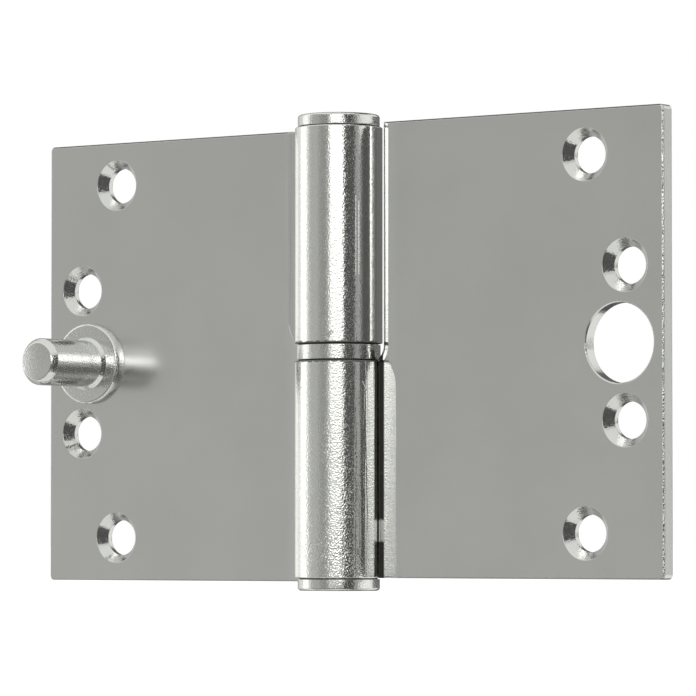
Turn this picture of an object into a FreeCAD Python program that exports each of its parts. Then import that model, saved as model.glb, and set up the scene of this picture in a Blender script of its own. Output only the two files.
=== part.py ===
import FreeCAD, Part
import math
import os

# Paumelle hinge: two rolled steel leaves that turn on one upright pin.
# Millimetres. The pin axis is Z and the leaves lie open in one plane along X. The screw heads and
# the security pin face -Y, and the origin is on the pin axis at the frame leaf's mid-height.

# Leaves
leaf_height = 89.0
leaf_reach = 75.0
leaf_thickness = 3.0
leaf_step = 0.75
closed_gap = 2.0
corner_radius = 0.9
face_edge_chamfer = 0.3

# Rolled knuckles
bore_diameter = 11.2
neck_start_x = 13.5
neck_lip_turn = 9.5
neck_lip_radius = 2.0
neck_ease_turn = 4.5
neck_ease_radius = 28.0
neck_bend_radius = 2.5
neck_corner_width = 2.2
neck_corner_height = 7.0
seam_angle = 8.0
seam_corner_radius = 1.0
knuckle_edge_chamfer = 0.15

# Free edge of each leaf, beside the other leaf's knuckle
free_edge_gap = 1.1
free_edge_round = 1.0
roll_over_width = 1.6
roll_over_depth = 0.17
notch_fillet = 3.0
notch_clearance = 0.25

# Hinge pin
pin_running_clearance = 0.05
pin_end_chamfer = 0.8
pin_end_gap = 1.5

# Bearing ring
ring_diameter = 16.4
ring_thickness = 3.4
ring_edge_chamfer = 0.2
ring_pin_clearance = 0.1
thrust_play = 0.05

# End caps
cap_diameter = 16.1
cap_head_height = 2.5
cap_edge_chamfer = 0.6
cap_seat_chamfer = 0.25
cap_plug_length = 5.0
cap_plug_chamfer = 0.6

# Screw holes, an outer pair and an inner pair on each leaf
hole_diameter = 7.1
countersink_diameter = 10.25
countersink_depth = 1.9
outer_hole_inset = 17.65
outer_hole_margin = 8.65
inner_hole_inset = 8.6
inner_hole_spacing = 29.2

# Hole in the frame leaf that takes the security pin
security_hole_diameter = 15.2
security_hole_inset = 9.9
security_hole_chamfer = 0.25

# Security pin on the door leaf, set a little nearer to the axis and lower than its hole
security_pin_lead = 0.9
security_pin_drop = 1.15
security_pin_diameter = 9.5
security_pin_length = 16.9
security_tip_chamfer = 1.0
collar_diameter = 16.4
collar_thickness = 1.5
collar_edge_chamfer = 0.6
root_cone_width = 1.0
root_cone_height = 1.1
rivet_diameter = 8.0
rivet_head_diameter = 10.4
rivet_head_depth = 1.2

# Worked out from the sizes above
face_y = closed_gap / 2
back_y = face_y + leaf_thickness
middle_y = face_y + leaf_thickness / 2
bore_radius = bore_diameter / 2
roll_radius = bore_radius + leaf_thickness / 2
knuckle_radius = bore_radius + leaf_thickness
free_edge_x = knuckle_radius + free_edge_gap
notch_x = knuckle_radius + notch_clearance
knuckle_length = (leaf_height - leaf_step - ring_thickness - thrust_play) / 2
frame_bottom_z = -leaf_height / 2
door_top_z = leaf_height / 2 - leaf_step
ring_bottom_z = frame_bottom_z + knuckle_length
outer_hole_spacing = leaf_height - 2 * outer_hole_margin
security_hole_x = leaf_reach - security_hole_inset
security_pin_x = security_hole_x - security_pin_lead

AXIS_X = FreeCAD.Vector(1, 0, 0)
AXIS_Y = FreeCAD.Vector(0, 1, 0)
AXIS_Z = FreeCAD.Vector(0, 0, 1)
ORIGIN = FreeCAD.Vector(0, 0, 0)


def point(x, y, z=0.0):
    return FreeCAD.Vector(x, y, z)


def line(start, end):
    return Part.LineSegment(start, end).toShape()


def polar(radius, angle, centre=(0.0, 0.0)):
    """Point in the XY plane at an angle in radians from +X."""
    return point(centre[0] + radius * math.cos(angle), centre[1] + radius * math.sin(angle))


def arc(centre, radius, start, end):
    """Arc edge in the XY plane between two angles in radians."""
    middle = (start + end) / 2
    return Part.Arc(*[polar(radius, angle, centre) for angle in (start, middle, end)]).toShape()


def face_of(edges):
    return Part.Face(Part.Wire(edges))


def outline(points):
    return [line(a, b) for a, b in zip(points, points[1:])]


def turned(edges):
    """Solid of revolution about Z from a closed outline in the XZ plane."""
    return face_of(edges).revolve(ORIGIN, AXIS_Z, 360)


def edges_where(shape, test):
    return [edge for edge in shape.Edges if test(edge)]


def spans(edge, **limits):
    """True for an edge whose box has these bounds, such as XMin=0, ZMax=5."""
    return all(abs(getattr(edge.BoundBox, name) - value) < 1e-3 for name, value in limits.items())


def one_solid(shape):
    clean = shape.removeSplitter()
    assert len(clean.Solids) == 1, "a piece came apart"
    return clean.Solids[0]


# A leaf is drawn with its knuckle at the bottom left: z runs from 0 to leaf_height and the flat towards +X


def flat_blank():
    """Flat of the leaf, with the free edge that curves into the notch and eased front edges."""
    notch_centre_x = free_edge_x - notch_fillet
    notch_centre_z = knuckle_length + notch_fillet
    low_angle = -math.acos((notch_x - notch_centre_x) / notch_fillet)
    notch = [
        point(
            notch_centre_x + notch_fillet * math.cos(angle),
            face_y,
            notch_centre_z + notch_fillet * math.sin(angle),
        )
        for angle in (low_angle, low_angle / 2, 0)
    ]
    edges = outline(
        [
            notch[2],
            point(free_edge_x, face_y, leaf_height),
            point(leaf_reach, face_y, leaf_height),
            point(leaf_reach, face_y, 0),
            point(notch_x, face_y, 0),
            notch[0],
        ]
    )
    edges.append(Part.Arc(*notch).toShape())
    plate = face_of(edges).extrude(AXIS_Y * leaf_thickness)

    outer_corner = {"XMin": leaf_reach, "XMax": leaf_reach, "YMin": face_y, "YMax": back_y}
    plate = plate.makeFillet(corner_radius, edges_where(plate, lambda e: spans(e, **outer_corner)))
    # The free edge is sheared: its front face rolls over gently and then turns sharply into the side
    free_edge = {"XMin": free_edge_x, "XMax": free_edge_x, "YMax": face_y}
    sheared = edges_where(plate, lambda e: spans(e, **free_edge))
    plate = plate.makeChamfer(roll_over_width, roll_over_depth, sheared)
    rolled_y = face_y + roll_over_depth
    rolled = {"XMin": free_edge_x, "XMax": free_edge_x, "YMin": rolled_y, "YMax": rolled_y}
    plate = plate.makeFillet(free_edge_round, edges_where(plate, lambda e: spans(e, **rolled)))
    front_ends = edges_where(
        plate,
        lambda e: spans(e, YMax=face_y) and (spans(e, ZMin=leaf_height) or spans(e, ZMax=0)),
    )
    return plate.makeChamfer(face_edge_chamfer, front_ends)


def neck_window():
    """Space of the bent neck and the roll, with the neck's upper outer corner drawn in on a long arc."""
    corner_x = neck_start_x - neck_corner_width
    corner_z = knuckle_length - neck_corner_height
    radius = (neck_corner_width**2 + neck_corner_height**2) / (2 * neck_corner_width)
    half_turn = math.asin(neck_corner_height / radius) / 2
    side = 2 * knuckle_radius
    edges = outline(
        [
            point(corner_x, -side, knuckle_length),
            point(-side, -side, knuckle_length),
            point(-side, -side, -leaf_thickness),
            point(neck_start_x, -side, -leaf_thickness),
            point(neck_start_x, -side, corner_z),
        ]
    )
    crown = point(
        neck_start_x - radius + radius * math.cos(half_turn),
        -side,
        corner_z + radius * math.sin(half_turn),
    )
    edges.append(Part.Arc(edges[-1].Vertexes[1].Point, crown, edges[0].Vertexes[0].Point).toShape())
    return face_of(edges).extrude(AXIS_Y * 2 * side)


def seam_corner():
    """Waste at the upper corner of the roll's free end, for cutting that corner round."""
    radius = seam_corner_radius
    reach = radius / 20
    slant = radius * (1 - math.sqrt(0.5))
    low_z = knuckle_length - radius
    high_z = knuckle_length + reach
    edges = outline(
        [
            point(bore_radius - reach, 0, low_z),
            point(bore_radius - reach, reach, low_z),
            point(bore_radius - reach, reach, high_z),
            point(bore_radius - reach, -radius, high_z),
            point(bore_radius - reach, -radius, knuckle_length),
        ]
    )
    crown = point(bore_radius - reach, -slant, knuckle_length - slant)
    edges.append(Part.Arc(edges[-1].Vertexes[1].Point, crown, edges[0].Vertexes[0].Point).toShape())
    waste = face_of(edges).extrude(point(leaf_thickness + 2 * reach, 0))
    waste.rotate(ORIGIN, AXIS_Z, seam_angle)
    return waste


def sheet_side(offset, lip_turn, run_turn):
    """One face of the neck from the flat to the roll, at an offset behind the sheet's middle."""
    quarter = math.pi / 2
    lip_centre = polar(neck_lip_radius, quarter, (neck_start_x, middle_y))
    ease_centre = polar(neck_lip_radius + neck_ease_radius, -quarter - lip_turn, lip_centre)
    level = polar(neck_ease_radius + neck_bend_radius, quarter - run_turn, ease_centre)
    # The straight run is as long as the main bend needs to meet the roll
    run = polar(1, math.pi - run_turn)
    slant = level.dot(run)
    meeting = roll_radius + neck_bend_radius
    length = -slant - math.sqrt(slant**2 - level.dot(level) + meeting**2)
    bend_centre = level + run * length
    roll_start = math.atan2(bend_centre.y, bend_centre.x)
    lip = arc(lip_centre, neck_lip_radius - offset, -quarter, -quarter - lip_turn)
    ease = arc(ease_centre, neck_ease_radius + offset, quarter - lip_turn, quarter - run_turn)
    bend = arc(bend_centre, neck_bend_radius - offset, -quarter - run_turn, roll_start - math.pi)
    straight = line(ease.Vertexes[-1].Point, bend.Vertexes[0].Point)
    return [lip, ease, straight, bend], roll_start


def rolled_knuckle():
    """Neck and knuckle: a shallow lip, an easing curve and a bend back, then the roll up to the seam."""
    turns = (math.radians(neck_lip_turn), math.radians(neck_lip_turn - neck_ease_turn))
    front, roll_start = sheet_side(-leaf_thickness / 2, *turns)
    back, roll_start = sheet_side(leaf_thickness / 2, *turns)
    roll_end = 2 * math.pi + math.radians(seam_angle)
    section = face_of(
        [
            *front,
            arc((0, 0), bore_radius, roll_start, roll_end),
            line(polar(bore_radius, roll_end), polar(knuckle_radius, roll_end)),
            arc((0, 0), knuckle_radius, roll_end, roll_start),
            *reversed(back),
            line(point(neck_start_x, back_y), point(neck_start_x, face_y)),
        ]
    )
    roll = section.extrude(AXIS_Z * knuckle_length)
    end_rims = edges_where(
        roll,
        lambda e: e.Curve.TypeId == "Part::GeomCircle"
        and (spans(e, ZMin=0, ZMax=0) or spans(e, ZMin=knuckle_length, ZMax=knuckle_length)),
    )
    return roll.makeChamfer(knuckle_edge_chamfer, end_rims).cut(seam_corner())


def round_hole(x, z, profile):
    """Cutter through the leaf at (x, z). The profile is (radius, depth behind the front face) pairs."""
    before, beyond = -leaf_thickness, 2 * leaf_thickness
    mouth, exit_mouth = profile[0][0], profile[-1][0]
    section = [(0, before), (mouth, before), *profile, (exit_mouth, beyond), (0, beyond), (0, before)]
    edges = outline([point(radius, depth) for radius, depth in section])
    cutter = face_of(edges).revolve(ORIGIN, AXIS_Y, 360)
    cutter.translate(point(x, face_y, z))
    return cutter


def screw_holes():
    hole_radius = hole_diameter / 2
    profile = [
        (countersink_diameter / 2, 0),
        (hole_radius, countersink_depth),
        (hole_radius, leaf_thickness),
    ]
    pairs = ((outer_hole_inset, outer_hole_spacing), (inner_hole_inset, inner_hole_spacing))
    return [
        round_hole(leaf_reach - inset, leaf_height / 2 + side * spacing / 2, profile)
        for inset, spacing in pairs
        for side in (-1, 1)
    ]


def leaf(extra_hole):
    roll = rolled_knuckle().common(neck_window())
    flat = flat_blank().cut(neck_window())
    return one_solid(flat.fuse(roll).cut(screw_holes() + [extra_hole]))


def frame_leaf():
    radius = security_hole_diameter / 2
    chamfer = security_hole_chamfer
    profile = [
        (radius + chamfer, 0),
        (radius, chamfer),
        (radius, leaf_thickness - chamfer),
        (radius + chamfer, leaf_thickness),
    ]
    shape = leaf(round_hole(security_hole_x, leaf_height / 2, profile))
    shape.translate(point(0, 0, frame_bottom_z))
    return shape


def door_leaf():
    """The same stamping turned over end for end, so that its knuckle is the upper one."""
    profile = [
        (rivet_diameter / 2, 0),
        (rivet_diameter / 2, leaf_thickness - rivet_head_depth),
        (rivet_head_diameter / 2, leaf_thickness),
    ]
    shape = leaf(round_hole(security_pin_x, door_top_z + security_pin_drop, profile))
    shape.rotate(ORIGIN, AXIS_Y, 180)
    shape.translate(point(0, 0, door_top_z))
    return shape


def hinge_pin():
    """Pressed into the lower knuckle, and slimmer above it, where the upper knuckle turns on it."""
    run_radius = bore_radius - pin_running_clearance
    low_z = frame_bottom_z + cap_plug_length + pin_end_gap
    high_z = door_top_z - cap_plug_length - pin_end_gap
    return turned(
        outline(
            [
                point(0, 0, low_z),
                point(bore_radius - pin_end_chamfer, 0, low_z),
                point(bore_radius, 0, low_z + pin_end_chamfer),
                point(bore_radius, 0, ring_bottom_z),
                point(run_radius, 0, ring_bottom_z),
                point(run_radius, 0, high_z - pin_end_chamfer),
                point(run_radius - pin_end_chamfer, 0, high_z),
                point(0, 0, high_z),
                point(0, 0, low_z),
            ]
        )
    )


def bearing_ring():
    inner = bore_radius + ring_pin_clearance
    outer = ring_diameter / 2
    low_z = ring_bottom_z
    top_z = ring_bottom_z + ring_thickness
    return turned(
        outline(
            [
                point(inner, 0, low_z),
                point(outer - ring_edge_chamfer, 0, low_z),
                point(outer, 0, low_z + ring_edge_chamfer),
                point(outer, 0, top_z - ring_edge_chamfer),
                point(outer - ring_edge_chamfer, 0, top_z),
                point(inner, 0, top_z),
                point(inner, 0, low_z),
            ]
        )
    )


def end_cap(seat_z, turn):
    """Cap whose plug goes into a knuckle and whose head seats on its end; turn is +1 for the top one."""
    outer = cap_diameter / 2
    head_z = seat_z + turn * cap_head_height
    plug_z = seat_z - turn * cap_plug_length
    return turned(
        outline(
            [
                point(0, 0, head_z),
                point(0, 0, plug_z),
                point(bore_radius - cap_plug_chamfer, 0, plug_z),
                point(bore_radius, 0, plug_z + turn * cap_plug_chamfer),
                point(bore_radius, 0, seat_z),
                point(outer - cap_seat_chamfer, 0, seat_z),
                point(outer, 0, seat_z + turn * cap_seat_chamfer),
                point(outer, 0, head_z - turn * cap_edge_chamfer),
                point(outer - cap_edge_chamfer, 0, head_z),
                point(0, 0, head_z),
            ]
        )
    )


def security_pin():
    """Turned pin with a collar. Its tail goes through the door leaf and is riveted flush at the back."""
    radius = security_pin_diameter / 2
    collar = collar_diameter / 2
    rivet = rivet_diameter / 2
    pin = turned(
        outline(
            [
                point(0, 0, security_pin_length),
                point(0, 0, -leaf_thickness),
                point(rivet_head_diameter / 2, 0, -leaf_thickness),
                point(rivet, 0, rivet_head_depth - leaf_thickness),
                point(rivet, 0, 0),
                point(collar, 0, 0),
                point(collar, 0, collar_thickness - collar_edge_chamfer),
                point(collar - collar_edge_chamfer, 0, collar_thickness),
                point(radius + root_cone_width, 0, collar_thickness),
                point(radius, 0, collar_thickness + root_cone_height),
                point(radius, 0, security_pin_length - security_tip_chamfer),
                point(radius - security_tip_chamfer, 0, security_pin_length),
                point(0, 0, security_pin_length),
            ]
        )
    )
    pin.rotate(ORIGIN, AXIS_X, 90)
    pin.translate(point(-security_pin_x, face_y, -security_pin_drop))
    return pin


pieces = {
    "frame_leaf": frame_leaf(),
    "door_leaf": door_leaf(),
    "hinge_pin": hinge_pin(),
    "bearing_ring": bearing_ring(),
    "top_cap": end_cap(door_top_z, 1),
    "bottom_cap": end_cap(frame_bottom_z, -1),
    "security_pin": security_pin(),
}

os.makedirs("parts", exist_ok=True)
for name, shape in pieces.items():
    shape.exportStep("parts/" + name + ".step")
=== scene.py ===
"""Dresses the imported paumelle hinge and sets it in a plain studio.

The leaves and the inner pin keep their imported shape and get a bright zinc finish. The caps, the bearing ring
and the security pin are modelled again with the rounds and tool marks that turning leaves.
"""

import math

import bmesh
import bpy
from bpy.props import FloatProperty, FloatVectorProperty, IntProperty, PointerProperty
from bpy.types import NodeSocket, Operator, Panel, PropertyGroup
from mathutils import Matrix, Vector


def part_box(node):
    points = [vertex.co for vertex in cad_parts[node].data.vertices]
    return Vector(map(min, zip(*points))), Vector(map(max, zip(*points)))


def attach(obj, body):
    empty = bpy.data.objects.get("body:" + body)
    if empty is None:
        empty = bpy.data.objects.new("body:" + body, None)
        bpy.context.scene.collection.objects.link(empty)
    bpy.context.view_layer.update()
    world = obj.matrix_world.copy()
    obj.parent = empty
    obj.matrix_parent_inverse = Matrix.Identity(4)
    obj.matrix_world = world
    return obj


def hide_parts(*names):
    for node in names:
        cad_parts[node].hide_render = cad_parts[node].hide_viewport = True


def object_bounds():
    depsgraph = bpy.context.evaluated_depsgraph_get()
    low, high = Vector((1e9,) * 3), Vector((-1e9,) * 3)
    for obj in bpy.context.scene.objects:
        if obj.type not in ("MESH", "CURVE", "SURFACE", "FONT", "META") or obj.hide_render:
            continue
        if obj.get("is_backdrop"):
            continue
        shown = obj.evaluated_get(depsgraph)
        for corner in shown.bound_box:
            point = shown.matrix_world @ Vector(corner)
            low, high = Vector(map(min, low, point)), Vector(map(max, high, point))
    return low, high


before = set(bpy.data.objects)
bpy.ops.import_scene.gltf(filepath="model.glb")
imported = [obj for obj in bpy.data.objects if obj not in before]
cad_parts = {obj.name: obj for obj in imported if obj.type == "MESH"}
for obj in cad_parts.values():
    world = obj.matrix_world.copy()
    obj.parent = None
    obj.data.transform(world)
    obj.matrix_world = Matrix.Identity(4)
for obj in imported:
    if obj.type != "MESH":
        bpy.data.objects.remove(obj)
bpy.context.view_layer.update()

bl_info = {
    "name": "Paumelle hinge",
    "version": (1, 0, 0),
    "blender": (4, 5, 0),
    "location": "View3D > Sidebar > Hinge",
    "description": "Finishes a lift-off hinge in bright zinc and lights it in a plain studio",
    "category": "Object",
}

MM = 0.001
CLOSE = 1e-6
WELD = 1e-7
SMOOTH_ANGLE = math.radians(32)
FLOOR_SIZE = 40.0
TENT_RADIUS = 5.0

# Near-black colours for the painted shade in the seam and grooves, the darkening beside the bearing ring and
# the grease
DARK_COLOUR = (0.05, 0.048, 0.042, 1.0)
GREASE_AND_SHADE_COLOUR = (0.01, 0.01, 0.009, 1.0)
LEAF_EDGE_ROUND = 0.14 * MM
CLOUD_SIZE = 24.0 * MM
TOOL_PITCH = 0.35 * MM

# Heights of surface marks, in millimetres
SCRATCH_DEPTH = 0.035
TOOL_MARK_HEIGHT = 0.012

# Zones of a leaf, in millimetres from the pin's axis. Each edge is the pair of lengths that it eases between.
KNUCKLE_RADIUS = 8.6
ROLL_EDGE = (8.8, 9.0)
NECK_EDGE = (9.0, 14.5)
LOWER_KNUCKLE = (-2.2, -2.1)
COARSE_RISE = (-34.0, -4.0)
LINED_REACH = ((6.5, 7.2), (13.0, 14.5))
RIM_DEPTH = ((0.6, 0.9), (1.3, 1.45))
SEAM_REACH = (9.8, 10.2)
SEAM_DEPTH = ((0.45, 0.6), (3.0, 3.3))
# Height of the spot where the painted shade in the seam is thinner
THIN_SHADE_SPOT = -35.3
HOLE_REACH = ((44.0, 46.0), (73.8, 74.2))
HOLE_DEPTH = ((1.02, 1.2), (3.8, 3.95))
HOLE_RISE = (42.6, 43.0)

# Start, end and width of each scratch on the knuckles, in millimetres
SCRATCHES = (
    ((2.92, -8.09, 2.51), (3.93, -7.65, 3.47), 0.16),
    ((3.3, -7.94, 2.31), (4.27, -7.46, 3.27), 0.12),
    ((8.06, -2.99, -6.2), (8.38, -1.94, -8.13), 0.12),
    ((6.51, -5.62, -27.11), (6.95, -5.07, -27.88), 0.16),
    ((-1.29, -8.5, -33.98), (0.01, -8.6, -34.38), 0.1),
    ((7.387, -4.404, 14.6), (7.387, -4.404, 29.9), 0.13),
    ((7.723, -3.784, 14.6), (7.723, -3.784, 29.0), 0.1),
)


class HingePlating(PropertyGroup):
    """Colour and surface of the zinc plate."""

    sheet_colour: FloatVectorProperty(
        name="Sheet colour",
        description="Colour of the plate on the leaves",
        subtype="COLOR",
        size=4,
        default=(0.785, 0.785, 0.78, 1.0),
    )
    dull_colour: FloatVectorProperty(
        name="Dull colour",
        description="Colour of the plate in its duller clouds",
        subtype="COLOR",
        size=4,
        default=(0.745, 0.745, 0.74, 1.0),
    )
    knuckle_colour: FloatVectorProperty(
        name="Knuckle colour",
        description="Colour of the plate on the rolled knuckles",
        subtype="COLOR",
        size=4,
        default=(0.88, 0.88, 0.873, 1.0),
    )
    turned_colour: FloatVectorProperty(
        name="Turned colour",
        description="Colour of the plate on the turned pieces",
        subtype="COLOR",
        size=4,
        default=(0.8, 0.8, 0.795, 1.0),
    )
    sheet_roughness: FloatProperty(
        name="Sheet roughness",
        description="Roughness of the flat leaves",
        default=0.17,
        min=0.0,
        max=1.0,
        subtype="FACTOR",
    )
    knuckle_roughness: FloatProperty(
        name="Knuckle roughness",
        description="Roughness of the rolled knuckles",
        default=0.08,
        min=0.0,
        max=1.0,
        subtype="FACTOR",
    )
    turned_roughness: FloatProperty(
        name="Turned roughness",
        description="Roughness of the turned pieces",
        default=0.1,
        min=0.0,
        max=1.0,
        subtype="FACTOR",
    )
    grain_size: FloatProperty(
        name="Grain size",
        description="Width of one grain of the plate",
        default=0.32 * MM,
        min=0.01 * MM,
        unit="LENGTH",
        precision=6,
    )
    sheet_grain: FloatProperty(
        name="Sheet grain",
        description="Height of the grain on the flat leaves, in millimetres",
        default=0.004,
        min=0.0,
        precision=4,
    )
    knuckle_grain: FloatProperty(
        name="Knuckle grain",
        description="Height of the grain on the knuckles, in millimetres",
        default=0.016,
        min=0.0,
        precision=4,
    )


class HingeTurning(PropertyGroup):
    """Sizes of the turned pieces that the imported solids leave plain."""

    sides: IntProperty(
        name="Sides",
        description="Faces round a turned piece",
        default=128,
        min=24,
    )
    bore_radius: FloatProperty(
        name="Bore radius",
        description="Radius of the knuckle's bore, which the cap's plug fills",
        default=5.6 * MM,
        unit="LENGTH",
        precision=5,
    )
    cap_round: FloatProperty(
        name="Cap round",
        description="Round on the outer edge of a cap",
        default=0.6 * MM,
        unit="LENGTH",
        precision=5,
    )
    seat_round: FloatProperty(
        name="Seat round",
        description="Round on the edge where a cap meets its knuckle",
        default=0.12 * MM,
        unit="LENGTH",
        precision=5,
    )
    ring_round: FloatProperty(
        name="Ring round",
        description="Round on the edges of the bearing ring",
        default=0.12 * MM,
        unit="LENGTH",
        precision=5,
    )
    groove_width: FloatProperty(
        name="Groove width",
        description="Width of the dark groove where a turned piece meets a knuckle",
        default=0.24 * MM,
        unit="LENGTH",
        precision=5,
    )
    groove_depth: FloatProperty(
        name="Groove depth",
        description="Depth of that groove",
        default=0.45 * MM,
        unit="LENGTH",
        precision=5,
    )
    ring_bore: FloatProperty(
        name="Ring bore",
        description="Radius of the hole in the bearing ring",
        default=5.65 * MM,
        unit="LENGTH",
        precision=5,
    )
    collar_round: FloatProperty(
        name="Collar round",
        description="Round on the edge of the security pin's collar",
        default=0.6 * MM,
        unit="LENGTH",
        precision=5,
    )
    tip_chamfer: FloatProperty(
        name="Tip chamfer",
        description="Chamfer on the tip of the security pin, across the pin",
        default=1.0 * MM,
        unit="LENGTH",
        precision=5,
    )
    tip_slope: FloatProperty(
        name="Tip slope",
        description="Length of that chamfer along the pin",
        default=1.15 * MM,
        unit="LENGTH",
        precision=5,
    )


class HingeStudio(PropertyGroup):
    """Camera, floor and light."""

    lens: FloatProperty(
        name="Lens",
        description="Focal length on a 36 mm sensor, in millimetres",
        default=241.76,
        min=1.0,
    )
    camera_place: FloatVectorProperty(
        name="Camera place",
        description="Where the camera stands",
        subtype="TRANSLATION",
        unit="LENGTH",
        size=3,
        default=(0.54944, -0.73229, -0.03703),
    )
    camera_aim: FloatVectorProperty(
        name="Camera aim",
        description="Direction in which the camera looks",
        subtype="DIRECTION",
        size=3,
        default=(-0.59807, 0.8004, 0.040975),
    )
    floor_drop: FloatProperty(
        name="Floor drop",
        description="Room between the hinge and the floor",
        default=30.0 * MM,
        unit="LENGTH",
    )
    floor_colour: FloatVectorProperty(
        name="Floor colour",
        description="Colour of the floor",
        subtype="COLOR",
        size=4,
        default=(0.9, 0.9, 0.9, 1.0),
    )
    floor_glow: FloatProperty(
        name="Floor glow",
        description="Glow that lifts the floor to white in the picture",
        default=0.4,
        min=0.0,
    )
    room_light: FloatProperty(
        name="Room light",
        description="Strength of the light that the room gives to the floor",
        default=0.45,
        min=0.0,
    )
    sun_strength: FloatProperty(
        name="Lamp strength",
        description="Strength of the soft lamp above the hinge",
        default=1.1,
        min=0.0,
    )
    softbox_level: FloatProperty(
        name="Softbox level",
        description="Brightness of the white sides of the tent",
        default=1.35,
        min=0.0,
    )
    grey_level: FloatProperty(
        name="Grey level",
        description="Brightness of the grey side of the tent, which the leaves mirror",
        default=0.45,
        min=0.0,
    )
    flag_level: FloatProperty(
        name="Flag level",
        description="Brightness of the dark flag in the tent",
        default=0.088,
        min=0.0,
    )
    tent_colour: FloatVectorProperty(
        name="Tent colour",
        description="Colour of the cloth that the tent is made of",
        subtype="COLOR",
        size=4,
        default=(0.987, 1.0, 0.95, 1.0),
    )


def add_node(tree, kind, **settings):
    """A new node with its settings."""
    node = tree.nodes.new(kind)
    for key, value in settings.items():
        setattr(node, key, value)
    return node


def feed(tree, socket, value):
    """Join a socket to another one, or give it a plain value."""
    if isinstance(value, NodeSocket):
        tree.links.new(value, socket)
    else:
        socket.default_value = value


def maths(tree, operation, *values, clamp=False):
    """The result of a Math node."""
    node = add_node(tree, "ShaderNodeMath", operation=operation, use_clamp=clamp)
    for socket, value in zip(node.inputs, values):
        feed(tree, socket, value)
    return node.outputs[0]


def ranged(tree, value, start, end, low, high):
    """A value eased from one range to another."""
    node = add_node(tree, "ShaderNodeMapRange", interpolation_type="SMOOTHSTEP")
    for socket, given in zip(node.inputs, (value, start, end, low, high)):
        feed(tree, socket, given)
    return node.outputs[0]


def below(tree, value, edge):
    """1 for a length under an edge and 0 over it."""
    return ranged(tree, value, edge[0] * MM, edge[1] * MM, 1.0, 0.0)


def between(tree, value, edges):
    """1 for a length between two edges and 0 outside them."""
    start, end = edges
    above = ranged(tree, value, start[0] * MM, start[1] * MM, 0.0, 1.0)
    return maths(tree, "MULTIPLY", above, below(tree, value, end))


def product(tree, first, *others):
    """The product of several values."""
    for other in others:
        first = maths(tree, "MULTIPLY", first, other)
    return first


def vectors(tree, operation, *values):
    """The result of a Vector Math node."""
    node = add_node(tree, "ShaderNodeVectorMath", operation=operation)
    for socket, value in zip(node.inputs, values):
        feed(tree, socket, value)
    plain = operation in ("DOT_PRODUCT", "LENGTH")
    return node.outputs["Value" if plain else "Vector"]


def split_place(tree, position):
    """The coordinates of a position, and its distance from the Z axis."""
    split = add_node(tree, "ShaderNodeSeparateXYZ")
    feed(tree, split.inputs[0], position)
    flat = add_node(tree, "ShaderNodeCombineXYZ")
    feed(tree, flat.inputs["X"], split.outputs["X"])
    feed(tree, flat.inputs["Y"], split.outputs["Y"])
    return split.outputs, vectors(tree, "LENGTH", flat.outputs[0])


def noise(tree, place, scale, detail=2.0, roughness=0.5):
    """The value of a Noise Texture."""
    node = add_node(tree, "ShaderNodeTexNoise")
    feed(tree, node.inputs["Vector"], place)
    feed(tree, node.inputs["Scale"], scale)
    node.inputs["Detail"].default_value = detail
    node.inputs["Roughness"].default_value = roughness
    return node.outputs["Fac"]


def blend_value(tree, share, first, second):
    """A mix of two values."""
    node = add_node(tree, "ShaderNodeMix", data_type="FLOAT")
    feed(tree, node.inputs["Factor"], share)
    feed(tree, node.inputs["A"], first)
    feed(tree, node.inputs["B"], second)
    return node.outputs["Result"]


def blend_colour(tree, share, first, second):
    """A mix of two colours."""
    node = add_node(tree, "ShaderNodeMix", data_type="RGBA")
    feed(tree, node.inputs["Factor"], share)
    feed(tree, node.inputs["A"], first)
    feed(tree, node.inputs["B"], second)
    return node.outputs["Result"]


def new_group(name, inputs, outputs):
    """An empty node group with its named sockets."""
    group = bpy.data.node_groups.new(name, "ShaderNodeTree")
    for label, kind, default in inputs:
        socket = group.interface.new_socket(name=label, in_out="INPUT", socket_type=kind)
        if default is not None:
            socket.default_value = default
    for label in outputs:
        group.interface.new_socket(name=label, in_out="OUTPUT", socket_type="NodeSocketFloat")
    given = group.nodes.new("NodeGroupInput").outputs
    taken = group.nodes.new("NodeGroupOutput").inputs
    return group, given, taken


def place_group(tree, group, **values):
    """A group in a material, with its own values."""
    node = add_node(tree, "ShaderNodeGroup", node_tree=group)
    for label, value in values.items():
        feed(tree, node.inputs[label.replace("_", " ")], value)
    return node.outputs


def make_grain_group():
    """Fine grain of the plate, as a height from 0 to 1."""
    group, given, taken = new_group(
        "plating_grain",
        (("Place", "NodeSocketVector", None), ("Size", "NodeSocketFloat", 0.3 * MM)),
        ("Height",),
    )
    scale = maths(group, "DIVIDE", 1.0, given["Size"])
    feed(group, taken["Height"], noise(group, given["Place"], scale, detail=0.0))
    return group


def make_scratch_group():
    """One straight scratch between two points, as a depth from 0 to 1."""
    group, given, taken = new_group(
        "scratch",
        (
            ("Place", "NodeSocketVector", None),
            ("Start", "NodeSocketVector", None),
            ("End", "NodeSocketVector", None),
            ("Width", "NodeSocketFloat", 0.1 * MM),
        ),
        ("Depth",),
    )
    length = vectors(group, "SUBTRACT", given["End"], given["Start"])
    reach = vectors(group, "SUBTRACT", given["Place"], given["Start"])
    along = vectors(group, "DOT_PRODUCT", reach, length)
    square = vectors(group, "DOT_PRODUCT", length, length)
    share = maths(group, "DIVIDE", along, square, clamp=True)
    nearest = add_node(group, "ShaderNodeVectorMath", operation="SCALE")
    feed(group, nearest.inputs["Vector"], length)
    feed(group, nearest.inputs["Scale"], share)
    away = vectors(group, "LENGTH", vectors(group, "SUBTRACT", reach, nearest.outputs["Vector"]))
    feed(group, taken["Depth"], ranged(group, away, given["Width"], 0.0, 0.0, 1.0))
    return group


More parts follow.
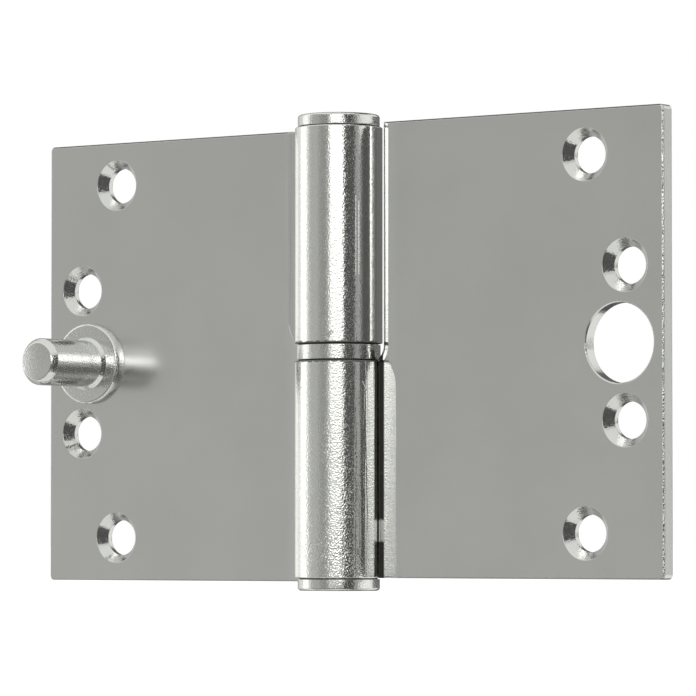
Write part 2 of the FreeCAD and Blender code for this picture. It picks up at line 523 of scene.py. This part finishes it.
def make_cloud_group():
    """Soft clouds in the plate, as a tone from 0 to 1."""
    group, given, taken = new_group(
        "plating_clouds",
        (("Place", "NodeSocketVector", None), ("Size", "NodeSocketFloat", 20.0 * MM)),
        ("Tone",),
    )
    scale = maths(group, "DIVIDE", 1.0, given["Size"])
    cloud = noise(group, given["Place"], scale, detail=4.0, roughness=0.55)
    feed(group, taken["Tone"], ranged(group, cloud, 0.3, 0.7, 0.0, 1.0))
    return group


def make_turning_group():
    """Rings that a lathe tool leaves, about the Z axis of the given place."""
    group, given, taken = new_group(
        "turning_marks",
        (("Place", "NodeSocketVector", None), ("Pitch", "NodeSocketFloat", 0.25 * MM)),
        ("Height", "Tone"),
    )
    place, radius = split_place(group, given["Place"])
    ring = add_node(group, "ShaderNodeCombineXYZ")
    feed(group, ring.inputs["X"], radius)
    scale = maths(group, "DIVIDE", 1.0, given["Pitch"])
    rings = noise(group, ring.outputs[0], scale, detail=1.0)
    pair = add_node(group, "ShaderNodeCombineXYZ")
    feed(group, pair.inputs["X"], radius)
    feed(group, pair.inputs["Y"], place["Z"])
    broad = noise(group, pair.outputs[0], maths(group, "MULTIPLY", scale, 0.22), detail=1.0)
    feed(group, taken["Height"], rings)
    feed(group, taken["Tone"], broad)
    return group


class Finish:
    """The node groups and the grease, which is also painted shade, that the materials share, each built once.
    """

    made = {}

    @classmethod
    def shared(cls, maker):
        """What a maker makes, made at its first use."""
        if maker not in cls.made:
            cls.made[maker] = maker()
        return cls.made[maker]

    @classmethod
    def grain(cls):
        """The grain group."""
        return cls.shared(make_grain_group)

    @classmethod
    def clouds(cls):
        """The cloud group."""
        return cls.shared(make_cloud_group)

    @classmethod
    def scratch(cls):
        """The scratch group."""
        return cls.shared(make_scratch_group)

    @classmethod
    def turning(cls):
        """The group of turning marks."""
        return cls.shared(make_turning_group)

    @classmethod
    def grease_and_shade(cls):
        """The grease material, which also paints the shade of the grooves."""
        return cls.shared(grease_and_shade_material)


def new_metal(name):
    """A metal material with its tree, its shader and Object coordinates."""
    material = bpy.data.materials.new(name)
    material.use_nodes = True
    tree = material.node_tree
    tree.nodes.clear()
    shader = tree.nodes.new("ShaderNodeBsdfPrincipled")
    shader.inputs["Metallic"].default_value = 1.0
    output = tree.nodes.new("ShaderNodeOutputMaterial")
    tree.links.new(shader.outputs["BSDF"], output.inputs["Surface"])
    position = tree.nodes.new("ShaderNodeTexCoord").outputs["Object"]
    return material, tree, shader, position


def raise_surface(tree, shader, height, edge=0.0):
    """Bump the shader's normal by a height in millimetres, over edges eased by a small round."""
    bump = add_node(tree, "ShaderNodeBump")
    bump.inputs["Distance"].default_value = MM
    feed(tree, bump.inputs["Height"], height)
    if edge:
        eased = add_node(tree, "ShaderNodeBevel", samples=6)
        eased.inputs["Radius"].default_value = edge
        tree.links.new(eased.outputs["Normal"], bump.inputs["Normal"])
    tree.links.new(bump.outputs["Normal"], shader.inputs["Normal"])


def own_half(tree, place):
    """1 on the half of each leaf that is rolled into its knuckle."""
    side = maths(tree, "MULTIPLY", place["X"], place["Z"])
    return ranged(tree, side, 0.0, -MM * MM, 0.0, 1.0)


def hole_walls(tree, place):
    """1 on the walls of the holes in the leaves."""
    outward = maths(tree, "ABSOLUTE", place["X"])
    upward = maths(tree, "ABSOLUTE", place["Z"])
    deep = between(tree, place["Y"], HOLE_DEPTH)
    return product(tree, deep, between(tree, outward, HOLE_REACH), below(tree, upward, HOLE_RISE))


def scratched(tree, position, height):
    """A height in millimetres with the scratches cut into it."""
    for start, end, width in SCRATCHES:
        first, last = [tuple(number * MM for number in point) for point in (start, end)]
        values = {"Place": position, "Start": first, "End": last, "Width": width * MM}
        cut = place_group(tree, Finish.scratch(), **values)
        height = maths(tree, "MULTIPLY_ADD", cut["Depth"], -SCRATCH_DEPTH, height)
    return height


def roll_end(tree, place, reach):
    """Height in millimetres of the flat that the end of the roll leaves on the frame leaf's knuckle."""
    facing = -7.4
    width = 14.0
    flatness = 0.6
    turn = maths(tree, "DEGREES", maths(tree, "ARCTAN2", place["Y"], place["X"]))
    share = maths(tree, "ABSOLUTE", maths(tree, "MULTIPLY_ADD", turn, -1.0 / width, facing / width))
    share = maths(tree, "SMOOTH_MIN", share, 1.0, 0.5)
    rise = 0.5 * flatness * KNUCKLE_RADIUS * math.radians(width) ** 2
    lower = below(tree, place["Z"], LOWER_KNUCKLE)
    return product(tree, share, share, rise, lower, below(tree, reach, ROLL_EDGE))


def rolling_lines(tree, place, position):
    """Height in millimetres of the upright lines that rolling leaves beside the seam of each leaf."""
    mapping = add_node(tree, "ShaderNodeMapping")
    mapping.inputs["Scale"].default_value = (1.0, 1.0, 0.03)
    feed(tree, mapping.inputs["Vector"], position)
    lines = noise(tree, mapping.outputs["Vector"], 1 / (0.4 * MM), detail=2.0)
    outward = maths(tree, "ABSOLUTE", place["X"])
    height = ranged(tree, outward, 8.2 * MM, 8.8 * MM, 0.05, 0.035)
    return product(tree, lines, between(tree, outward, LINED_REACH), height, own_half(tree, place))


def sheared_rim(tree, place, position):
    """Height in millimetres of the burr along the outer edges of a leaf's front."""
    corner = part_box("frame_leaf")[1]
    lower_by = corner.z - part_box("door_leaf")[1].z
    edge = 0.35 * MM
    slope = -0.3
    spots = noise(tree, position, 1 / (0.32 * MM), detail=1.0)
    burr = ranged(tree, spots, 0.38, 0.6, 0.02, 0.15)
    past = maths(tree, "SUBTRACT", maths(tree, "ABSOLUTE", place["X"]), corner.x - edge)
    side = maths(tree, "MULTIPLY", maths(tree, "MAXIMUM", maths(tree, "DIVIDE", past, MM), 0.0), burr)
    lift = ranged(tree, place["X"], -MM, MM, lower_by, 0.0)
    level = maths(tree, "ABSOLUTE", maths(tree, "ADD", place["Z"], lift))
    past = maths(tree, "MAXIMUM", maths(tree, "SUBTRACT", level, corner.z - edge), 0.0)
    rim = maths(tree, "MULTIPLY_ADD", past, slope / MM, side)
    return maths(tree, "MULTIPLY", rim, between(tree, place["Y"], RIM_DEPTH))


def darkening_beside_ring(tree, place, position, reach):
    """Share of the darkening, with a ragged edge, on the ends of the knuckles beside the bearing ring."""
    low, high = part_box("bearing_ring")
    middle = (low.z + high.z) / 2
    end = (high.z - low.z) / 2
    away = maths(tree, "ABSOLUTE", maths(tree, "SUBTRACT", place["Z"], middle))
    blots = noise(tree, position, 1 / (1.1 * MM), detail=3.0)
    uneven = maths(tree, "MULTIPLY_ADD", blots, 0.9 * MM, -0.2 * MM)
    depth = maths(tree, "SUBTRACT", maths(tree, "SUBTRACT", away, end), uneven)
    darkening = ranged(tree, depth, 0.0, 0.12 * MM, 0.75, 0.0)
    return maths(tree, "MULTIPLY", darkening, below(tree, reach, ROLL_EDGE))


def seam_painted_shade(tree, place, position, reach):
    """Share of the painted shade in the groove between a knuckle and its own leaf, standing in for a deeper
    gap, thinner in one spot.
    """
    groove = ranged(tree, reach, 8.62 * MM, 8.7 * MM, 0.0, 0.97)
    outward = maths(tree, "ABSOLUTE", place["X"])
    groove = product(tree, groove, below(tree, outward, SEAM_REACH), between(tree, place["Y"], SEAM_DEPTH))
    blots = noise(tree, position, 1 / (5.0 * MM), detail=3.0)
    uneven = ranged(tree, blots, 0.22, 0.34, 0.7, 1.0)
    away = maths(tree, "ABSOLUTE", maths(tree, "SUBTRACT", place["Z"], THIN_SHADE_SPOT * MM))
    ragged = noise(tree, position, 1 / (0.8 * MM), detail=2.0)
    away = maths(tree, "MULTIPLY_ADD", ragged, 1.2 * MM, away)
    thinner = ranged(tree, away, 2.4 * MM, 3.0 * MM, 0.4, 1.0)
    return product(tree, groove, own_half(tree, place), uneven, thinner)


def dull_specks(tree, position, look):
    """Share of the small specks where the plate is dull."""
    spots = place_group(tree, Finish.grain(), Place=position, Size=look.grain_size * 0.75)["Height"]
    return ranged(tree, spots, 0.53, 0.66, 0.0, 1.0)


def sheet_material(look):
    """Bright zinc on rolled sheet: an even leaf and a grainier knuckle with a few scratches."""
    material, tree, shader, position = new_metal("bright_zinc_sheet")
    place, reach = split_place(tree, position)
    on_knuckle = below(tree, reach, NECK_EDGE)
    in_holes = hole_walls(tree, place)
    outward = maths(tree, "ABSOLUTE", place["X"])
    grainy = maths(tree, "MULTIPLY", on_knuckle, ranged(tree, outward, 7.6 * MM, 8.2 * MM, 1.0, 0.35))
    patches = ranged(tree, noise(tree, position, 1 / (9.0 * MM)), 0.4, 0.66, 0.3, 1.0)
    coarser = product(tree, below(tree, place["Z"], COARSE_RISE), patches, on_knuckle)
    depth = maths(tree, "MULTIPLY_ADD", coarser, look.knuckle_grain * 3.2, look.knuckle_grain)
    depth = maths(tree, "MULTIPLY_ADD", depth, maths(tree, "MAXIMUM", grainy, in_holes), look.sheet_grain)
    grain = place_group(tree, Finish.grain(), Place=position, Size=look.grain_size)["Height"]
    height = scratched(tree, position, maths(tree, "MULTIPLY", grain, depth))
    height = maths(tree, "ADD", height, roll_end(tree, place, reach))
    height = maths(tree, "ADD", height, rolling_lines(tree, place, position))
    height = maths(tree, "ADD", height, sheared_rim(tree, place, position))
    raise_surface(tree, shader, height, LEAF_EDGE_ROUND)
    # Painted shade in the seam beside each knuckle, and darkening on the knuckles beside the bearing ring
    darkening = darkening_beside_ring(tree, place, position, reach)
    darkening = maths(tree, "MAXIMUM", darkening, seam_painted_shade(tree, place, position, reach))
    tone = place_group(tree, Finish.clouds(), Place=position, Size=CLOUD_SIZE)["Tone"]
    colour = blend_colour(tree, tone, tuple(look.sheet_colour), tuple(look.dull_colour))
    colour = blend_colour(tree, on_knuckle, colour, tuple(look.knuckle_colour))
    colour = blend_colour(tree, darkening, colour, DARK_COLOUR)
    tree.links.new(colour, shader.inputs["Base Color"])
    machined = maths(tree, "MAXIMUM", on_knuckle, in_holes)
    rough = ranged(tree, machined, 0.0, 1.0, look.sheet_roughness, look.knuckle_roughness)
    rough = maths(tree, "MULTIPLY_ADD", tone, 0.02, rough)
    rough = maths(tree, "MULTIPLY_ADD", darkening, 0.5, rough)
    speckled = maths(tree, "MULTIPLY_ADD", in_holes, 0.9, grainy, clamp=True)
    specks = maths(tree, "MULTIPLY", dull_specks(tree, position, look), speckled)
    rough = maths(tree, "MULTIPLY_ADD", specks, maths(tree, "MULTIPLY_ADD", coarser, 0.3, 0.2), rough)
    tree.links.new(rough, shader.inputs["Roughness"])
    return material


def turned_material(look, name, centre, turn):
    """Bright zinc over the tool marks of a lathe, round an axis through the given centre."""
    material, tree, shader, position = new_metal(name)
    mapping = add_node(tree, "ShaderNodeMapping", vector_type="TEXTURE")
    mapping.inputs["Location"].default_value = centre
    mapping.inputs["Rotation"].default_value = turn
    feed(tree, mapping.inputs["Vector"], position)
    marks = place_group(tree, Finish.turning(), Place=mapping.outputs["Vector"], Pitch=TOOL_PITCH)
    grain = place_group(tree, Finish.grain(), Place=position, Size=look.grain_size)["Height"]
    height = maths(tree, "MULTIPLY", grain, look.knuckle_grain * 1.5)
    height = maths(tree, "MULTIPLY_ADD", marks["Height"], TOOL_MARK_HEIGHT, height)
    raise_surface(tree, shader, height)
    colour = blend_colour(tree, marks["Tone"], tuple(look.turned_colour), tuple(look.sheet_colour))
    tree.links.new(colour, shader.inputs["Base Color"])
    rough = maths(tree, "MULTIPLY_ADD", marks["Tone"], 0.06, look.turned_roughness - 0.03)
    rough = maths(tree, "MULTIPLY_ADD", dull_specks(tree, position, look), 0.24, rough)
    tree.links.new(rough, shader.inputs["Roughness"])
    return material


def grease_and_shade_material():
    """Dark grease and dirt in the grooves between the pieces, painted near black as the shade of these gaps
    too.
    """
    material, tree, shader, position = new_metal("dark_grease_and_shade")
    shader.inputs["Metallic"].default_value = 0.0
    tone = noise(tree, position, 1 / (0.6 * MM), detail=3.0)
    colour = blend_colour(tree, tone, GREASE_AND_SHADE_COLOUR, DARK_COLOUR)
    tree.links.new(colour, shader.inputs["Base Color"])
    tree.links.new(maths(tree, "MULTIPLY_ADD", tone, 0.3, 0.4), shader.inputs["Roughness"])
    return material


def dress(piece, material):
    """Give a piece one material."""
    piece.data.materials.clear()
    piece.data.materials.append(material)


def start_ring(name, radius, height, sides):
    """Draw the first ring of a turned piece and stay in edit mode."""
    bpy.ops.object.select_all(action="DESELECT")
    bpy.ops.mesh.primitive_circle_add(vertices=sides, radius=radius, location=(0, 0, height))
    piece = bpy.context.object
    piece.name = name
    piece.data.name = name
    bpy.ops.object.transform_apply(location=True, rotation=True, scale=True)
    bpy.ops.object.mode_set(mode="EDIT")
    bpy.ops.mesh.select_all(action="SELECT")
    return piece


def pull_ring(start, end):
    """Extrude the selected ring from one radius and height to the next."""
    bpy.ops.mesh.extrude_region_move(TRANSFORM_OT_translate={"value": (0, 0, end[1] - start[1])})
    grow = end[0] / start[0]
    bpy.ops.transform.resize(value=(grow, grow, 1.0), center_override=(0, 0, end[1]))


def select_ring(piece, radius, height):
    """Select the edges of one ring, by its radius and height."""
    bpy.ops.mesh.select_all(action="DESELECT")
    mesh = bmesh.from_edit_mesh(piece.data)
    found = 0
    for edge in mesh.edges:
        ends = [v.co for v in edge.verts]
        near = [abs(p.xy.length - radius) < CLOSE and abs(p.z - height) < CLOSE for p in ends]
        if all(near):
            edge.select_set(True)
            found += 1
    bmesh.update_edit_mesh(piece.data)
    if not found:
        raise RuntimeError(f"{piece.name} has no ring at radius {radius} and height {height}")


def close_ring():
    """Close the selected ring to a point in its middle."""
    bpy.ops.mesh.extrude_region_move(TRANSFORM_OT_translate={"value": (0, 0, 0)})
    bpy.ops.mesh.merge(type="CENTER")


def turn_piece(name, profile, rounds, sides, closed):
    """Turn a piece from its profile of radii and heights, and round the named rings."""
    piece = start_ring(name, *profile[0], sides)
    for start, end in zip(profile, profile[1:]):
        pull_ring(start, end)
    if closed:
        close_ring()
        select_ring(piece, *profile[0])
        close_ring()
    else:
        pull_ring(profile[-1], profile[0])
    bpy.ops.mesh.select_all(action="SELECT")
    bpy.ops.mesh.remove_doubles(threshold=WELD)
    for ring, width, steps in rounds:
        select_ring(piece, *ring)
        bpy.ops.mesh.bevel(offset=width, segments=steps, affect="EDGES")
    bpy.ops.mesh.select_all(action="SELECT")
    bpy.ops.mesh.normals_make_consistent(inside=False)
    bpy.ops.object.mode_set(mode="OBJECT")
    bpy.ops.object.shade_smooth_by_angle(angle=SMOOTH_ANGLE)
    weighting = piece.modifiers.new("face_weight", "WEIGHTED_NORMAL")
    weighting.keep_sharp = True
    bpy.ops.object.modifier_apply(modifier=weighting.name)
    return piece


def grease_and_shade_grooves(piece, radius, *grooves):
    """Give the grooves under a radius dark grease that is also their painted shade. A groove is its lower and
    its upper height.
    """
    inset = 0.15 * MM
    margin = 0.05 * MM
    piece.data.materials.append(Finish.grease_and_shade())
    for face in piece.data.polygons:
        middle = face.center
        deep = middle.xy.length < radius - inset
        if deep and any(low - margin < middle.z < high + margin for low, high in grooves):
            face.material_index = 1


def settle(piece, place, turn):
    """Put a piece in its place and turn, and keep both in its mesh."""
    bpy.ops.object.select_all(action="DESELECT")
    piece.select_set(True)
    bpy.context.view_layer.objects.active = piece
    piece.rotation_euler = turn
    piece.location = place
    bpy.ops.object.transform_apply(location=True, rotation=True, scale=True)


def stand_for(piece, node, body):
    """Let a modelled piece stand for a packed one."""
    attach(piece, body)
    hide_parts(node)


class HINGE_OT_plate_leaves(Operator):
    """Give both leaves and the inner pin their zinc finish"""

    bl_idname = "hinge.plate_leaves"
    bl_label = "Plate the leaves"

    def execute(self, context):
        look = context.scene.hinge_plating
        sheet = sheet_material(look)
        dress(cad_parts["frame_leaf"], sheet)
        dress(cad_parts["door_leaf"], sheet)
        dress(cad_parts["hinge_pin"], turned_material(look, "turned_pin", (0, 0, 0), (0, 0, 0)))
        return {"FINISHED"}


class HINGE_OT_turn_caps(Operator):
    """Model the cap at each end of the barrel"""

    bl_idname = "hinge.turn_caps"
    bl_label = "Turn the caps"

    def execute(self, context):
        sizes = context.scene.hinge_turning
        look = context.scene.hinge_plating
        low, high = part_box("top_cap")
        radius = (high.x - low.x) / 2
        top = high.z
        seat = top - 2.5 * MM
        plug_chamfer = 0.6 * MM
        dimple = 1.2 * MM
        dimple_floor = 0.5 * MM
        dimple_depth = 0.12 * MM
        rim = seat + sizes.groove_width
        plug = sizes.bore_radius
        neck = radius - sizes.groove_depth
        profile = (
            (plug - plug_chamfer, low.z),
            (plug, low.z + plug_chamfer),
            (plug, seat),
            (neck, seat),
            (neck, rim),
            (radius, rim),
            (radius, top),
            (dimple, top),
            (dimple_floor, top - dimple_depth),
        )
        rounds = (((radius, top), sizes.cap_round, 5), ((radius, rim), sizes.seat_round, 3))
        cap = turn_piece("top_cap_turned", profile, rounds, sizes.sides, True)
        dress(cap, turned_material(look, "turned_cap", (0, 0, 0), (0, 0, 0)))
        # Grease and painted shade in the groove at the cap's seat
        grease_and_shade_grooves(cap, radius, (seat, rim))
        under = cap.copy()
        under.data = cap.data.copy()
        under.name = "bottom_cap_turned"
        under.data.name = "bottom_cap_turned"
        context.collection.objects.link(under)
        settle(under, (0, 0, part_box("bottom_cap")[0].z + top), (math.pi, 0, 0))
        stand_for(cap, "top_cap", "door")
        stand_for(under, "bottom_cap", "frame")
        return {"FINISHED"}


class HINGE_OT_turn_ring(Operator):
    """Model the bearing ring between the knuckles"""

    bl_idname = "hinge.turn_ring"
    bl_label = "Turn the bearing ring"

    def execute(self, context):
        sizes = context.scene.hinge_turning
        look = context.scene.hinge_plating
        low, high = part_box("bearing_ring")
        radius = (high.x - low.x) / 2
        neck = radius - sizes.groove_depth
        under = low.z + sizes.groove_width
        over = high.z - sizes.groove_width
        profile = (
            (sizes.ring_bore, low.z),
            (neck, low.z),
            (neck, under),
            (radius, under),
            (radius, over),
            (neck, over),
            (neck, high.z),
            (sizes.ring_bore, high.z),
        )
        rounds = (((radius, under), sizes.ring_round, 3), ((radius, over), sizes.ring_round, 3))
        ring = turn_piece("bearing_ring_turned", profile, rounds, sizes.sides, False)
        dress(ring, turned_material(look, "turned_ring", (0, 0, 0), (0, 0, 0)))
        # Grease and painted shade in the grooves at both ends of the ring
        grease_and_shade_grooves(ring, radius, (low.z, under), (over, high.z))
        stand_for(ring, "bearing_ring", "frame")
        return {"FINISHED"}


class HINGE_OT_turn_security_pin(Operator):
    """Model the security pin with its collar and riveted tail"""

    bl_idname = "hinge.turn_security_pin"
    bl_label = "Turn the security pin"

    def execute(self, context):
        sizes = context.scene.hinge_turning
        look = context.scene.hinge_plating
        low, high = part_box("security_pin")
        centre_x = (low.x + high.x) / 2
        centre_z = (low.z + high.z) / 2
        collar = (high.x - low.x) / 2
        tail = -high.y
        tip = -low.y
        shank = 4.75 * MM
        hole = 4.0 * MM
        rivet = 1.2 * MM
        seat = tail + 3.0 * MM
        face = seat + 1.5 * MM
        root_width = 0.6 * MM
        root_length = 0.7 * MM
        tip_round = 0.12 * MM
        shoulder = tip - sizes.tip_slope
        end = shank - sizes.tip_chamfer
        profile = (
            (hole + rivet, tail),
            (hole, tail + rivet),
            (hole, seat),
            (collar, seat),
            (collar, face),
            (shank + root_width, face),
            (shank, face + root_length),
            (shank, shoulder),
            (end, tip),
        )
        rounds = (
            ((collar, face), sizes.collar_round, 3),
            ((shank, shoulder), tip_round, 2),
            ((end, tip), tip_round, 2),
        )
        pin = turn_piece("security_pin_turned", profile, rounds, sizes.sides, True)
        centre = (centre_x, 0, centre_z)
        turn = (math.pi / 2, 0, 0)
        settle(pin, centre, turn)
        dress(pin, turned_material(look, "turned_security_pin", centre, turn))
        stand_for(pin, "security_pin", "door")
        return {"FINISHED"}


def glow_material(name):
    """An empty glowing material, with its tree and its emission shader."""
    material = bpy.data.materials.new(name)
    material.use_nodes = True
    tree = material.node_tree
    tree.nodes.clear()
    glow = tree.nodes.new("ShaderNodeEmission")
    output = tree.nodes.new("ShaderNodeOutputMaterial")
    tree.links.new(glow.outputs[0], output.inputs["Surface"])
    return material, tree, glow


def levels(tree, angle, limit, stops):
    """Brightness by an angle in degrees from -limit to limit. A stop is an angle and its brightness."""
    peak = max(level for place, level in stops)
    share = maths(tree, "MULTIPLY_ADD", angle, 0.5 / limit, 0.5)
    node = tree.nodes.new("ShaderNodeValToRGB")
    points = node.color_ramp.elements
    for number, (place, level) in enumerate(stops):
        position = 0.5 + 0.5 * place / limit
        point = points[number] if number < 2 else points.new(position)
        point.position = position
        point.color = (level / peak, level / peak, level / peak, 1.0)
    feed(tree, node.inputs["Fac"], share)
    return maths(tree, "MULTIPLY", node.outputs["Color"], peak)


def background_rays(tree):
    """1 for the rays that see the background: camera, glossy and transmission rays."""
    path = tree.nodes.new("ShaderNodeLightPath").outputs
    seen = maths(tree, "MAXIMUM", path["Is Camera Ray"], path["Is Glossy Ray"])
    return maths(tree, "MAXIMUM", seen, path["Is Transmission Ray"])


def tent_sides(tree, turn, rise, studio):
    """Brightness round the tent, by the turn about its upright axis and less by the rise."""
    white = studio.softbox_level
    grey = studio.grey_level
    sides = levels(
        tree,
        turn,
        180,
        (
            (-180, 0.8),
            (-174, 0.8),
            (-172, white),
            (-148, white),
            (-145, 1.7 * grey),
            (-139, 1.4 * grey),
            (-135, 1.04 * grey),
            (-130, grey),
            (-112, grey),
            (-106, 0.8 * grey),
            (-98, 0.68 * grey),
            (-88, 0.66 * grey),
            (-80, grey),
            (-70, white),
            (-8.6, 0.4),
            (-8, 0.9),
            (-7.4, 0.34),
            (2, 0.34),
            (5, 0.85),
            (28, 1.05),
            (48, 1.0),
            (51, 0.9),
            (56, 0.9),
            (59, 0.16),
            (126, 0.16),
            (132, 0.5),
            (156, 0.5),
            (162, 0.8),
            (180, 0.8),
        ),
    )
    sides = maths(tree, "MULTIPLY", sides, ranged(tree, rise, -10, 12, 1.06, 0.92))
    sides = maths(tree, "MULTIPLY", sides, ranged(tree, rise, -16, -8, 0.62, 1.0))
    steep = maths(tree, "ABSOLUTE", maths(tree, "SUBTRACT", rise, 2.5))
    steep = ranged(tree, steep, 6.0, 9.0, 0.0, 1.0)
    beside = levels(tree, turn, 180, ((48, 0.0), (51, 1.0), (88, 1.0), (95, 0.0)))
    return blend_value(tree, maths(tree, "MULTIPLY", steep, beside), sides, 0.9)


def tent_front(tree, rise, studio):
    """Brightness of the tent's front, by the rise: dark below and a softbox above."""
    white = studio.softbox_level
    return levels(
        tree,
        rise,
        90,
        (
            (-90, 0.85),
            (-45, 0.85),
            (-40, 0.4),
            (-30, 0.18),
            (-20, 0.15),
            (-13, 0.18),
            (-9, 0.5),
            (-5, 0.45),
            (-0.5, 0.55),
            (1.6, 0.7),
            (2.5, 1.3),
            (3.2, 1.4 * white),
            (9, 1.5 * white),
            (20, 1.5 * white),
            (26, 0.8),
            (33, 0.65),
            (90, 0.65),
        ),
    )


def tent_flag(tree, rise, studio):
    """Brightness of the tent's flag, by the rise: dark except high up and low down."""
    dark = studio.flag_level
    stops = ((-90, 0.85), (-45, 0.85), (-41, dark), (24, dark), (27, 0.74), (90, 0.74))
    return levels(tree, rise, 90, stops)


class HINGE_OT_set_stage(Operator):
    """Set the floor, the light tent, the room, the lamp and the camera"""

    bl_idname = "hinge.set_stage"
    bl_label = "Set the stage"

    def execute(self, context):
        studio = context.scene.hinge_studio
        self.lay_floor(studio)
        self.raise_tent(studio)
        self.light_room(context, studio)
        self.place_camera(context, studio)
        context.scene.view_settings.view_transform = "Standard"
        return {"FINISHED"}

    def lay_floor(self, studio):
        """A pale floor that shows white and keeps the hinge's shadow."""
        bpy.ops.object.select_all(action="DESELECT")
        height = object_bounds()[0][2] - studio.floor_drop
        bpy.ops.mesh.primitive_plane_add(size=FLOOR_SIZE, location=(0, 0, height))
        floor = bpy.context.object
        floor.name = "floor"
        material = bpy.data.materials.new("pale_floor")
        material.use_nodes = True
        tree = material.node_tree
        tree.nodes.clear()
        matt = tree.nodes.new("ShaderNodeBsdfDiffuse")
        matt.inputs["Color"].default_value = tuple(studio.floor_colour)
        glow = tree.nodes.new("ShaderNodeEmission")
        seen = maths(tree, "MULTIPLY", background_rays(tree), studio.floor_glow)
        feed(tree, glow.inputs["Strength"], seen)
        both = tree.nodes.new("ShaderNodeAddShader")
        tree.links.new(matt.outputs[0], both.inputs[0])
        tree.links.new(glow.outputs[0], both.inputs[1])
        output = tree.nodes.new("ShaderNodeOutputMaterial")
        tree.links.new(both.outputs[0], output.inputs["Surface"])
        dress(floor, material)
        floor.visible_glossy = False
        floor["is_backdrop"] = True

    def raise_tent(self, studio):
        """A light tent that only reflections see: a white softbox, a grey sweep and a dark flag."""
        bpy.ops.object.select_all(action="DESELECT")
        bpy.ops.mesh.primitive_uv_sphere_add(
            segments=96,
            ring_count=48,
            radius=TENT_RADIUS,
            location=(0, 0, 0),
        )
        tent = bpy.context.object
        tent.name = "light_tent"
        material, tree, glow = glow_material("tent_glow")
        glow.inputs["Color"].default_value = tuple(studio.tent_colour)
        place, away = split_place(tree, tree.nodes.new("ShaderNodeTexCoord").outputs["Object"])
        turn = maths(tree, "DEGREES", maths(tree, "ARCTAN2", place["Y"], place["X"]))
        rise = maths(tree, "DEGREES", maths(tree, "ARCTAN2", place["Z"], away))
        in_front = levels(tree, turn, 180, ((-80, 0.0), (-70, 1.0), (-42, 1.0), (-39.5, 0.0)))
        in_flag = levels(tree, turn, 180, ((-42, 0.0), (-39.5, 1.0), (-10, 1.0), (-9, 0.0)))
        elsewhere = maths(tree, "SUBTRACT", maths(tree, "SUBTRACT", 1.0, in_front), in_flag)
        level = maths(tree, "MULTIPLY", tent_sides(tree, turn, rise, studio), elsewhere)
        level = maths(tree, "MULTIPLY_ADD", tent_front(tree, rise, studio), in_front, level)
        level = maths(tree, "MULTIPLY_ADD", tent_flag(tree, rise, studio), in_flag, level)
        overhead = ranged(tree, place["Y"], 1.0, 1.6, 0.85, 0.12)
        level = blend_value(tree, ranged(tree, rise, 33, 39, 0.0, 1.0), level, overhead)
        underneath = ranged(tree, place["Y"], -0.6, 0.0, 0.85, 0.25)
        level = blend_value(tree, ranged(tree, rise, -50, -56, 0.0, 1.0), level, underneath)
        feed(tree, glow.inputs["Strength"], level)
        dress(tent, material)
        tent.visible_camera = False
        tent.visible_diffuse = False
        tent.visible_transmission = False
        tent.visible_shadow = False
        material.cycles.emission_sampling = "NONE"
        tent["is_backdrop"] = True

    def light_room(self, context, studio):
        """A white room and one soft lamp, which light the floor."""
        world = bpy.data.worlds.new("white_room")
        context.scene.world = world
        world.use_nodes = True
        tree = world.node_tree
        tree.nodes.clear()
        light = tree.nodes.new("ShaderNodeBackground")
        light.inputs["Strength"].default_value = studio.room_light
        white = tree.nodes.new("ShaderNodeBackground")
        for shade in (light, white):
            shade.inputs["Color"].default_value = (1, 1, 1, 1)
        choice = tree.nodes.new("ShaderNodeMixShader")
        tree.links.new(background_rays(tree), choice.inputs[0])
        tree.links.new(light.outputs[0], choice.inputs[1])
        tree.links.new(white.outputs[0], choice.inputs[2])
        output = tree.nodes.new("ShaderNodeOutputWorld")
        tree.links.new(choice.outputs[0], output.inputs["Surface"])
        tilt = (math.radians(25), math.radians(-12), 0)
        bpy.ops.object.light_add(type="SUN", location=(0, 0, 1), rotation=tilt)
        lamp = bpy.context.object
        lamp.name = "soft_lamp"
        lamp.data.energy = studio.sun_strength
        lamp.data.angle = math.radians(40)
        lamp.visible_glossy = False

    def place_camera(self, context, studio):
        """The camera at the photograph's angle."""
        bpy.ops.object.camera_add(location=studio.camera_place)
        camera = bpy.context.object
        camera.name = "photo_camera"
        camera.rotation_euler = Vector(studio.camera_aim).to_track_quat("-Z", "Y").to_euler()
        camera.data.sensor_width = 36.0
        camera.data.lens = studio.lens
        context.scene.camera = camera


class HINGE_PT_pieces(Panel):
    """The hinge's pieces and its stage"""

    bl_label = "Paumelle hinge"
    bl_space_type = "VIEW_3D"
    bl_region_type = "UI"
    bl_category = "Hinge"

    def draw(self, context):
        for operator in OPERATORS:
            self.layout.operator(operator.bl_idname)
        for settings in ("hinge_plating", "hinge_turning", "hinge_studio"):
            group = getattr(context.scene, settings)
            box = self.layout.box()
            for name in group.__annotations__:
                box.prop(group, name)


OPERATORS = (
    HINGE_OT_plate_leaves,
    HINGE_OT_turn_caps,
    HINGE_OT_turn_ring,
    HINGE_OT_turn_security_pin,
    HINGE_OT_set_stage,
)
CLASSES = (HingePlating, HingeTurning, HingeStudio, *OPERATORS, HINGE_PT_pieces)


def register():
    """Register the classes and hang their settings on the scene."""
    for each in CLASSES:
        bpy.utils.register_class(each)
    bpy.types.Scene.hinge_plating = PointerProperty(type=HingePlating)
    bpy.types.Scene.hinge_turning = PointerProperty(type=HingeTurning)
    bpy.types.Scene.hinge_studio = PointerProperty(type=HingeStudio)


def unregister():
    """Take the settings and the classes away again."""
    del bpy.types.Scene.hinge_studio
    del bpy.types.Scene.hinge_turning
    del bpy.types.Scene.hinge_plating
    for each in reversed(CLASSES):
        bpy.utils.unregister_class(each)


def main():
    """Build every piece and the stage."""
    register()
    bpy.ops.hinge.plate_leaves()
    bpy.ops.hinge.turn_caps()
    bpy.ops.hinge.turn_ring()
    bpy.ops.hinge.turn_security_pin()
    bpy.ops.hinge.set_stage()


if __name__ == "__main__":
    main()
